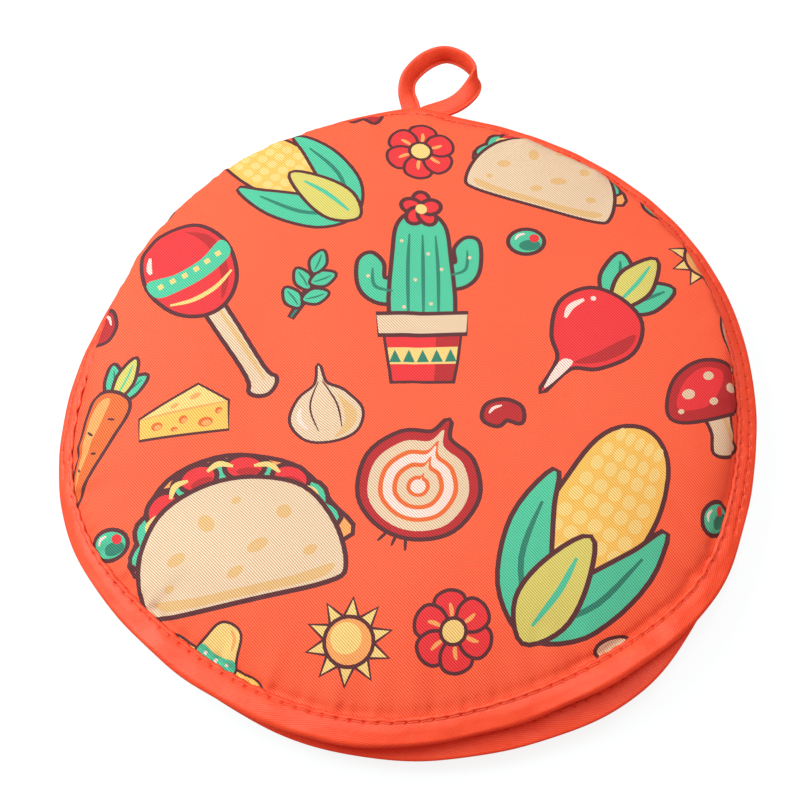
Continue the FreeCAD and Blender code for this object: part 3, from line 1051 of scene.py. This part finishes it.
def puckered(cloth, seed):
    """The cloth with the ripples that the tape gathers into its rim."""
    radius, angle = cloth.flat_places()
    before = cloth.reach - (tape_width - TUCK) - radius
    near = smooth((before + 0.5) / 2.5)
    fine = ridges(angle, 90, 190, seed) * np.exp(-np.maximum(before - 2, 0) / PUCKER_REACH) * 0.18
    long = ridges(angle, 24, 60, seed + 1) * np.exp(-(np.maximum(before - 7, 0) / 13) ** 2) * 0.23
    broad = unevenness(cloth.rings, seed + 2) * smooth(before / 40) * 0.5
    return cloth.raised(((fine + long) * near + broad)[..., None])


def settled(cloth, up):
    """The cloth after its batting has pushed it out, by a short cloth simulation of a coarser copy."""
    coarse = cloth.coarser(4, 4)
    points, faces, _ = disc_layout(coarse)
    piece = new_piece("settling", points, facing(faces, up), printed_twill)
    radius = np.linalg.norm(points[:, :2], axis=1)
    before = tape_inner - radius
    held = piece.vertex_groups.new(name="held")
    gathered = piece.vertex_groups.new(name="gathered")
    for i, distance in enumerate(before):
        held.add([i], float(max(smooth((3 - distance) / 4), smooth((distance - 62) / 30))), "REPLACE")
        gathered.add([i], float(smooth((32 - distance) / 24)), "REPLACE")
    simulation = piece.modifiers.new("cloth", "CLOTH")
    cloth_settings = simulation.settings
    cloth_settings.quality = 6
    cloth_settings.mass = 0.2
    cloth_settings.tension_stiffness = 12
    cloth_settings.compression_stiffness = 6
    cloth_settings.bending_stiffness = 0.15
    cloth_settings.use_pressure = True
    cloth_settings.uniform_pressure_force = 4
    cloth_settings.effector_weights.gravity = 0
    cloth_settings.vertex_group_mass = held.name
    cloth_settings.pin_stiffness = 2
    cloth_settings.vertex_group_shrink = gathered.name
    cloth_settings.shrink_min = 0
    cloth_settings.shrink_max = -0.03
    simulation.collision_settings.use_collision = False
    simulation.point_cache.frame_start = 1
    simulation.point_cache.frame_end = 20
    for step in range(1, 21):
        bpy.context.scene.frame_set(step)
    evaluated = piece.evaluated_get(bpy.context.evaluated_depsgraph_get())
    made = np.empty(len(points) * 3)
    evaluated.data.vertices.foreach_get("co", made)
    moved = made.reshape(-1, 3) / MM - points
    far = np.linalg.norm(moved, axis=1, keepdims=True)
    moved *= SETTLE_MOST / np.maximum(far, SETTLE_MOST)
    bpy.context.scene.frame_set(1)
    bpy.data.objects.remove(piece)
    rings = np.zeros_like(coarse.rings)
    rings[0] = moved[0]
    rings[1:] = moved[1:].reshape(rings[1:].shape)
    radius, angle = cloth.flat_places()
    return Cloth(cloth.rings + Cloth(rings, cloth.reach).at(radius, angle), cloth.reach)


def on_the_floor(cloth):
    """The lower cover with no point under the surface that the pouch lies on."""
    rings = cloth.rings.copy()
    rings[..., 2] = np.maximum(rings[..., 2], 0)
    return Cloth(rings, cloth.reach)


def shown(panel, cloth):
    return Cloth(panel.placed(cloth.rings), cloth.reach)


upper = Panel(1)
lower = Panel(-1)
upper_face = settled(puckered(cloth_of(upper.cover_section), 11), True)
lower_face = on_the_floor(settled(puckered(cloth_of(lower.cover_section), 21), False))
roof = cloth_of(upper.lining_section).coarser(2, 4)
pocket_floor = cloth_of(lower.lining_section).coarser(2, 4)

printed_top = printed_piece("printed_top", shown(upper, upper_face), drawn(LAYOUT), True)
printed_underside = printed_piece("printed_underside", lower_face, drawn(LAYOUT, 140, True), False)

PAD_INSET = COVER_THICKNESS + LAYER_GAP
FILM_FACE = LINING_THICKNESS + LAYER_GAP
PAD_FACE = FILM_FACE + FILM_THICKNESS + LAYER_GAP
top_batting = pad_piece("top_batting", shown(upper, upper_face.coarser(2, 4).raised(-PAD_INSET)),
                        shown(upper, roof.raised(PAD_FACE)), batting_fibre)
bottom_batting = pad_piece("bottom_batting", pocket_floor.raised(-PAD_FACE),
                           lower_face.coarser(2, 4).raised(PAD_INSET), batting_fibre)
top_film = sheet_piece("top_film", shown(upper, roof.raised(FILM_FACE).coarser(2, 1)),
                       FILM_THICKNESS, film_material, False)
bottom_film = sheet_piece("bottom_film", pocket_floor.raised(-FILM_FACE).coarser(2, 1),
                          FILM_THICKNESS, film_material, True)
pocket_roof_lining = sheet_piece("pocket_roof_lining", shown(upper, roof), LINING_THICKNESS, lining_cloth, False)
pocket_floor_lining = sheet_piece("pocket_floor_lining", pocket_floor, LINING_THICKNESS, lining_cloth, True)


# ---- Binding tape ------------------------------------------------------------------------------------
JOINING_ROW = tape_width - joining_row_inset
HEM_SINK = 0.22                     # of the stitched line into the tape
HEM_RISE = 0.5                      # of the folded edge beside it
HOLE_SINK = 1.0                     # more of it at the holes between two stitches
TAPE_CAMBER = 0.6                   # of the tape's broad part


def tape_face(along):
    """Height off the seam of the tape's outer face, with its camber and the groove of its edge row."""
    camber = TAPE_CAMBER * smooth((along - EDGE_ROW_INSET) / 3.5) * smooth((tape_width - along) / 1.2)
    return binding_height + camber - HEM_SINK * np.exp(-((along - EDGE_ROW_INSET) / 0.5) ** 2)


def tape_outline():
    """Places (along, off) round the folded tape's section, from its hem on the outside to the inside."""
    top = binding_height
    by_rows = [row + step for row in (EDGE_ROW_INSET, JOINING_ROW) for step in (-0.8, -0.4, 0, 0.4, 0.8)]
    stops = np.array(sorted(by_rows + [0.05, 0.45, 3.2, 4.2, 7.8, 8.7, tape_width - 1.4]))
    sunk = HEM_SINK * np.exp(-((stops - EDGE_ROW_INSET) / 0.5) ** 2)
    raised = HEM_RISE * np.sin(np.pi * np.clip(stops / (EDGE_ROW_INSET - 0.1), 0, 1)) - 0.15 * (stops < 0.1)
    outside = np.stack([stops, tape_face(stops) + raised], -1)
    underside = np.stack([stops, 0.08 + sunk * 0.5], -1)[::-2]
    t = np.linspace(0.35, math.pi - 0.35, 7)
    fold = np.stack([tape_width - 1.3 + 1.3 * np.sin(t), top / 2 * (1 + np.cos(t))], -1)
    inside_high, inside_low = top - TAPE_WALL, TAPE_WALL
    deep = tape_width - TAPE_WALL
    pocket = [(deep - 1, inside_low), (deep, top / 2), (deep - 1, inside_high)]
    hem_low, hem_high = [(-0.25, 0.45), (0.05, inside_low)], [(0.05, inside_high), (-0.3, top - 0.4)]
    return np.concatenate([outside, fold, underside, hem_low, pocket, hem_high])


def on_tape_surface(panel, angle, along, off):
    """Points on a tape, with its waves, the pinches of its stitches and its gathered hem."""
    high = np.clip(off / binding_height, 0, 1)
    open_share = mouth_share(angle, 12)
    free = 0.15 + 0.85 * (high if panel.side > 0 else np.maximum(high, open_share * 0.6))
    seed = 31 if panel.side > 0 else 41
    body = np.exp(-((along - 5.5) / 3.2) ** 2)
    hem = np.exp(-((along - 0.4) / 1.1) ** 2)
    waves = 0.28 * ridges(angle, 18, 60, seed) * body + 0.2 * ridges(angle, 90, 190, 11) * hem
    to_middle = 1 - 2 * high
    hole = (0.5 - 0.5 * np.cos(angle * STITCHES_ROUND)) ** 5
    pinch = np.exp(-((along - EDGE_ROW_INSET) / 0.45) ** 2) * HOLE_SINK * hole
    sewn = 1 - mouth_share(angle, 4)
    pinch = pinch + np.exp(-((along - JOINING_ROW) / 0.5) ** 2) * (0.3 + 1.2 * hole) * sewn
    radial = 0.14 * ridges(angle, 60, 160, seed + 1) * np.exp(-(np.maximum(along, 0) / 1.5) ** 2)
    radial = radial + 0.12 * ridges(angle, 8, 30, seed + 2) * smooth((along - 8) / 3)
    return panel.on_tape(angle, along + radial, off + waves * free + pinch * to_middle)


def make_binding(name, panel):
    """Folded tape round a panel's rim."""
    outline = tape_outline()
    angle = np.arange(TAPE_STEPS) / TAPE_STEPS * TURN
    rings = on_tape_surface(panel, angle[None], outline[:, :1], outline[:, 1:])
    steps = np.linalg.norm(np.roll(outline, -1, 0) - outline, axis=1)
    across = np.concatenate([[0], np.cumsum(steps)])
    along = np.arange(TAPE_STEPS + 1) / TAPE_STEPS * TAPE_LENGTH
    return band_piece(name, rings, along, across, tape_cloth, panel.side > 0)


top_binding = make_binding("top_binding", upper)
bottom_binding = make_binding("bottom_binding", lower)


# ---- Hanging loop ------------------------------------------------------------------------------------
LOOP_WIDTH = 9.6
LOOP_THICKNESS = 1.6
# Where the loop's tape runs, and which way its width lies there
LOOP_PATH = [
    ((-13, 148.5, 15), (1, 0, 0)),
    ((-15, 158, 15.5), (0.97, 0.2, 0)),
    ((-17.9, 166, 18), (0.87, 0, -0.49)),
    ((-16.9, 174, 20.5), (0.66, -0.16, -0.73)),
    ((-9.5, 182.4, 23), (0.44, -0.44, -0.78)),
    ((0, 186.5, 24), (0.1, -0.27, -0.96)),
    ((9.3, 184.1, 23.5), (-0.15, -0.16, -0.97)),
    ((15.4, 178.8, 22), (0.07, -0.14, -0.99)),
    ((16.4, 173.5, 21), (0.5, -0.3, -0.82)),
    ((14.8, 168, 20), (0.7, -0.56, -0.45)),
    ((10.3, 162.3, 18.7), (0.65, -0.73, -0.22)),
    ((4.8, 158.8, 17.4), (0.6, -0.79, -0.1)),
    ((-1.6, 156.8, 16.3), (0.45, -0.88, 0)),
    ((-7.5, 154.6, 15.3), (0.35, -0.93, 0)),
    ((-11, 150, 15), (0.35, -0.93, 0)),
]
LOOP_ROW = LOOP_WIDTH / 2 - 1.5     # row of stitches beside the loop's folded edge


def loop_axes():
    """The loop's middle line with its width and its outward directions, evenly stepped."""
    both = curve([(*place, *wide) for place, wide in LOOP_PATH], closed=False, steps=14)
    both, length = evenly(both[None], 181)
    line, wide = both[0, :, :3], both[0, :, 3:]
    onward = np.gradient(line, axis=0)
    onward /= np.linalg.norm(onward, axis=1, keepdims=True)
    wide = wide - onward * np.sum(wide * onward, axis=1, keepdims=True)
    wide /= np.linalg.norm(wide, axis=1, keepdims=True)
    return line, wide, np.cross(onward, wide), length


loop_line, loop_wide, loop_out, loop_length = loop_axes()


def on_loop(share, wide, out):
    """Points by their share of the loop's length, and across and off its tape."""
    where = share * (len(loop_line) - 1)
    step = np.arange(len(loop_line))

    def at(values):
        return np.stack([np.interp(where, step, values[:, k]) for k in range(3)], -1)

    return at(loop_line) + at(loop_wide) * wide + at(loop_out) * out


def make_loop():
    """The hanging loop: one length of folded tape with its row of stitches sunk along one edge."""
    half, thick = LOOP_WIDTH / 2, LOOP_THICKNESS / 2
    stops = np.array([-half + 0.7, -half + 1.6, -1.2, 0.4, 1.8, LOOP_ROW - 0.4, LOOP_ROW, LOOP_ROW + 0.4, half - 0.5])
    sunk = 0.5 * np.exp(-((stops - LOOP_ROW) / 0.35) ** 2)
    body = 0.4 * np.clip(1 - ((stops + 1.1) / 3.4) ** 2, 0, 1) + 0.25 * (stops > LOOP_ROW)
    top = np.stack([stops, thick + body - sunk], -1)
    ends = [(half - 0.1, thick * 0.62), (half, 0), (half - 0.1, -thick * 0.62)]
    outline = np.concatenate([top, ends, (top * (1, -1))[::-1], [(-x, y) for x, y in ends[::-1]]])
    share = np.linspace(0, 1, len(loop_line))
    rings = np.stack([on_loop(share, x, y) for x, y in outline])
    count, long = rings.shape[:2]
    piece_faces = []
    for i in range(count):
        j = np.arange(long - 1)
        low, high = i * long, (i + 1) % count * long
        piece_faces += np.stack([low + j, low + j + 1, high + j + 1, high + j], -1).tolist()
    piece_faces.append([i * long for i in range(count)])
    piece_faces.append([i * long + long - 1 for i in range(count)][::-1])
    piece = new_piece("tape_loop", rings, piece_faces, tape_cloth)
    across = np.concatenate([[0], np.cumsum(np.linalg.norm(np.roll(outline, -1, 0) - outline, axis=1))])[:-1]
    cut = np.stack(np.broadcast_arrays(share[None] * loop_length, across[:, None], 0.0), -1)
    store(piece, "cut", cut * MM)
    return piece


tape_loop = make_loop()


# ---- Stitches ----------------------------------------------------------------------------------------
def make_stitch_tree():
    """A stitch on each point: a short arched thread that dips into the cloth at both ends."""
    tree = bpy.data.node_groups.new("row_of_stitches", "GeometryNodeTree")
    tree.interface.new_socket("Stitch middles", in_out="INPUT", socket_type="NodeSocketGeometry")
    for name in ("Stitch length", "Thread width", "Arch"):
        tree.interface.new_socket(name, in_out="INPUT", socket_type="NodeSocketFloat")
    tree.interface.new_socket("Stitches", in_out="OUTPUT", socket_type="NodeSocketGeometry")
    given = add(tree, "NodeGroupInput").outputs
    half = add(tree, "ShaderNodeMath", {"operation": "MULTIPLY"}, {0: given["Stitch length"], 1: 0.5}).outputs[0]
    back = add(tree, "ShaderNodeMath", {"operation": "MULTIPLY"}, {0: given["Stitch length"], 1: -0.5}).outputs[0]
    start = add(tree, "ShaderNodeCombineXYZ", {}, {0: back}).outputs[0]
    middle = add(tree, "ShaderNodeCombineXYZ", {}, {2: given["Arch"]}).outputs[0]
    end = add(tree, "ShaderNodeCombineXYZ", {}, {0: half}).outputs[0]
    arch = add(tree, "GeometryNodeCurveQuadraticBezier", {}, {
        "Resolution": 6, "Start": start, "Middle": middle, "End": end})
    slim = add(tree, "ShaderNodeMath", {"operation": "MULTIPLY"}, {0: given["Thread width"], 1: 0.5}).outputs[0]
    ring = add(tree, "GeometryNodeCurvePrimitiveCircle", {"mode": "RADIUS"}, {"Resolution": 6, "Radius": slim})
    body = add(tree, "GeometryNodeCurveToMesh", {}, {
        "Curve": arch.outputs[0], "Profile Curve": ring.outputs[0], "Fill Caps": True})
    ahead = add(tree, "GeometryNodeInputNamedAttribute", {"data_type": "FLOAT_VECTOR"}, {"Name": "ahead"})
    up = add(tree, "GeometryNodeInputNamedAttribute", {"data_type": "FLOAT_VECTOR"}, {"Name": "up"})
    along = add(tree, "FunctionNodeAlignRotationToVector", {"axis": "X"}, {"Vector": ahead.outputs[0]})
    upright = add(tree, "FunctionNodeAlignRotationToVector", {"axis": "Z", "pivot_axis": "X"}, {
        "Rotation": along.outputs[0], "Vector": up.outputs[0]})
    sizes = add(tree, "FunctionNodeRandomValue", {"data_type": "FLOAT_VECTOR"}, {
        0: (0.9, 0.94, 0.85), 1: (1.04, 1.06, 1.15), "Seed": 5})
    placed_stitches = add(tree, "GeometryNodeInstanceOnPoints", {}, {
        "Points": given["Stitch middles"], "Instance": body.outputs[0], "Rotation": upright.outputs[0],
        "Scale": sizes.outputs[0]})
    real = add(tree, "GeometryNodeRealizeInstances", {}, {0: placed_stitches.outputs[0]})
    smooth_faces = add(tree, "GeometryNodeSetShadeSmooth", {}, {0: real.outputs[0]})
    coloured = add(tree, "GeometryNodeSetMaterial", {}, {0: smooth_faces.outputs[0], "Material": thread_material})
    add(tree, "NodeGroupOutput", {}, {0: coloured.outputs[0]})
    return tree


stitch_tree = make_stitch_tree()


def stitched(name, rows, length, width=THREAD, arch=0.25):
    """One piece of thread for some rows: each has its stitches' middles, the way up and the way ahead."""
    middles, ups, aheads = (np.concatenate(part) for part in zip(*rows))
    piece = new_piece(name, middles, [], thread_material)
    store(piece, "up", ups)
    store(piece, "ahead", aheads)
    row = piece.modifiers.new("stitches", "NODES")
    row.node_group = stitch_tree
    sizes = {"Stitch length": length, "Thread width": width, "Arch": arch}
    for socket in stitch_tree.interface.items_tree:
        if socket.in_out == "INPUT" and socket.name in sizes:
            row[socket.identifier] = sizes[socket.name] * MM
    return with_modifiers(piece)


def tape_row(panel, angle, along, outside):
    """A row on a tape's outside or its seam side, with its stitches' middles at some angles."""
    off = tape_face(along) + THREAD * 0.3 if outside else 0.22
    none = 0 * angle
    line = on_tape_surface(panel, angle, along + none, off + none)
    above = on_tape_surface(panel, angle, along + none, off + none + (1 if outside else -1))
    ahead = on_tape_surface(panel, angle + 0.001, along + none, off + none)
    return line, above - line, ahead - line


every_stitch = np.arange(STITCHES_ROUND) / STITCHES_ROUND * TURN
in_mouth = every_stitch[mouth_share(every_stitch, 1) > 0.99]
sewn_rear = every_stitch[mouth_share(every_stitch, 1) < 0.01]
STITCH_LENGTH = 0.8 * TURN * edge_row_radius / STITCHES_ROUND


def edge_rows(panel):
    """The row in a tape's hem: all round its outside, and on its seam side where the mouth shows it."""
    return [tape_row(panel, every_stitch, EDGE_ROW_INSET, True), tape_row(panel, in_mouth, EDGE_ROW_INSET, False)]


top_edge_row = stitched("top_edge_row", edge_rows(upper), STITCH_LENGTH)
bottom_edge_row = stitched("bottom_edge_row", edge_rows(lower), STITCH_LENGTH)
joining_row = stitched("joining_row", [
    tape_row(panel, sewn_rear, JOINING_ROW, True) for panel in (upper, lower)], STITCH_LENGTH)


def loop_row(side):
    """A row beside the loop's folded edge, on one face of its tape."""
    share = np.linspace(0.04, 0.96, 29)
    line = on_loop(share, LOOP_ROW, side * (LOOP_THICKNESS / 2 - 0.25))
    ahead = on_loop(share + 0.005, LOOP_ROW, side * (LOOP_THICKNESS / 2 - 0.25)) - line
    return line, on_loop(share, LOOP_ROW, side * LOOP_THICKNESS) - line, ahead


loop_stitching = stitched("loop_stitching", [loop_row(1), loop_row(-1)], 3.6, THREAD * 0.9, 0.2)

TACK_ANGLES = [95.2, 93.2]          # of the bar tacks over the loop's two ends


def tack_rows():
    """Close rows through the tapes and the loop's two ends."""
    rows = []
    for middle in TACK_ANGLES:
        angle = np.radians(middle + np.array([-0.55, 0, 0.55]))
        for panel in (upper, lower):
            for step in range(5):
                rows.append(tape_row(panel, angle, JOINING_ROW - 2.6 + step * 0.55, True))
    return rows


loop_tacks = stitched("loop_tacks", tack_rows(), 1.5, THREAD, 0.3)

# ---- Stage, light and camera -------------------------------------------------------------------------
CAMERA_AZIMUTH = math.radians(9.6)
CAMERA_ELEVATION = math.radians(65.9)
CAMERA_ROLL = math.radians(-4.0)
CAMERA_DISTANCE = 442.7
CAMERA_TARGET = (-3.5, -5.6, 17.0)
CAMERA_LENS = 45.0
# The lamps are cool and the light from all round is warm, and together they are white on an open face.
COOL = (0.74, 1.0, 1.02)
WARM = (1.0, 0.4, 0.33, 1)


def make_camera():
    back = Vector((math.sin(CAMERA_AZIMUTH) * math.cos(CAMERA_ELEVATION),
                   -math.cos(CAMERA_AZIMUTH) * math.cos(CAMERA_ELEVATION), math.sin(CAMERA_ELEVATION)))
    data = bpy.data.cameras.new("camera")
    data.lens = CAMERA_LENS
    data.sensor_width = 36
    data.clip_start = 0.02
    camera = bpy.data.objects.new("camera", data)
    bpy.context.scene.collection.objects.link(camera)
    turn = (-back).to_track_quat("-Z", "Y").to_matrix().to_4x4() @ Matrix.Rotation(CAMERA_ROLL, 4, "Z")
    camera.matrix_world = Matrix.Translation((Vector(CAMERA_TARGET) + back * CAMERA_DISTANCE) * MM) @ turn
    bpy.context.scene.camera = camera


def make_floor():
    """A wide white floor that keeps the pouch's soft shadow."""
    material = bpy.data.materials.new("white_floor")
    material.use_nodes = True
    tree = material.node_tree
    tree.nodes.clear()
    diffuse = add(tree, "ShaderNodeBsdfDiffuse", {}, {"Color": (0.45, 0.14, 0.11, 1)})
    pale = add(tree, "ShaderNodeBsdfDiffuse", {}, {"Color": (0.16, 0.19, 0.19, 1)})
    glow = add(tree, "ShaderNodeEmission", {}, {"Color": (0.98, 1, 1, 1), "Strength": 0.87})
    seen = add(tree, "ShaderNodeLightPath")
    both = add(tree, "ShaderNodeAddShader", {}, {0: pale.outputs[0], 1: glow.outputs[0]})
    chosen = add(tree, "ShaderNodeMixShader", {}, {
        0: seen.outputs["Is Camera Ray"], 1: diffuse.outputs[0], 2: both.outputs[0]})
    add(tree, "ShaderNodeOutputMaterial", {}, {0: chosen.outputs[0]})
    reach, below = 9000, -0.2
    floor = new_piece("floor", [(-reach, -reach, below), (reach, -reach, below), (reach, reach, below),
                                (-reach, reach, below)], [(0, 1, 2, 3)], material)


def make_lamp(name, place, aim, size, power):
    data = bpy.data.lights.new(name, "AREA")
    data.size = size * MM
    data.energy = power
    data.color = COOL
    lamp = bpy.data.objects.new(name, data)
    bpy.context.scene.collection.objects.link(lamp)
    away = (Vector(aim) - Vector(place)) * MM
    lamp.matrix_world = Matrix.Translation(Vector(place) * MM) @ away.to_track_quat("-Z", "Y").to_matrix().to_4x4()


def make_light():
    world = bpy.data.worlds.new("studio")
    world.use_nodes = True
    tree = world.node_tree
    tree.nodes.clear()
    seen = add(tree, "ShaderNodeLightPath")
    strength = add(tree, "ShaderNodeMapRange", {}, {0: seen.outputs["Is Camera Ray"], 3: 0.5, 4: 0.94})
    colour = add(tree, "ShaderNodeMix", {"data_type": "RGBA"}, {
        0: seen.outputs["Is Camera Ray"], 6: WARM, 7: (1, 1, 1, 1)})
    sky = add(tree, "ShaderNodeBackground", {}, {"Color": colour.outputs[2], "Strength": strength.outputs[0]})
    add(tree, "ShaderNodeOutputWorld", {}, {0: sky.outputs[0]})
    bpy.context.scene.world = world
    make_lamp("key", (-950, 200, 900), (0, 0, 20), 600, 15)
    make_lamp("fill", (100, 300, 1300), (0, 0, 20), 700, 9)


make_camera()
make_floor()
make_light()
bpy.context.scene.view_settings.view_transform = "Standard"

# ---- The CAD parts that each piece takes the place of, and the pieces that ride on the pouch ---------
def stands_for(piece, slot, *nodes):
    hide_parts(*nodes)


def bends(piece, slot, *nodes):
    """A piece of the upper panel, shaped bent from the pouch to the flap, with its place baked into its points."""
    stands_for(piece, slot, *nodes)
    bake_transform(piece)


def stays(piece, slot, *nodes):
    """A piece that rides on the pouch."""
    stands_for(piece, slot, *nodes)
    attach(piece, "pouch")


def swings(piece, slot, *nodes):
    """A piece of the hanging loop, shaped round the tapes' outer edge where it leaves the pouch, with its place baked
    into its points.
    """
    stands_for(piece, slot, *nodes)
    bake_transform(piece)


bends(printed_top, "printed_cloth", "upper_cover_rear", "upper_cover_flap")
bends(top_batting, "batting", "upper_batting_rear", "upper_batting_flap")
bends(top_film, "insulating_film", "upper_film_rear", "upper_film_flap")
bends(pocket_roof_lining, "lining_cloth", "upper_lining_rear", "upper_lining_flap")
bends(top_binding, "binding_tape", "upper_binding_rear", "upper_binding_flap")
bends(top_edge_row, "thread", "upper_binding_stitches_rear", "upper_binding_stitches_flap")
stays(printed_underside, "printed_cloth", "lower_cover")
stays(bottom_batting, "batting", "lower_batting")
stays(bottom_film, "insulating_film", "lower_film")
stays(pocket_floor_lining, "lining_cloth", "lower_lining")
stays(bottom_binding, "binding_tape", "lower_binding")
stays(bottom_edge_row, "thread", "lower_binding_stitches")
stays(joining_row, "thread", "joining_stitches")
stays(loop_tacks, "thread", "loop_tack_stitches")
swings(tape_loop, "binding_tape", "hanging_loop", "loop_ends")
swings(loop_stitching, "thread", "loop_stitches")
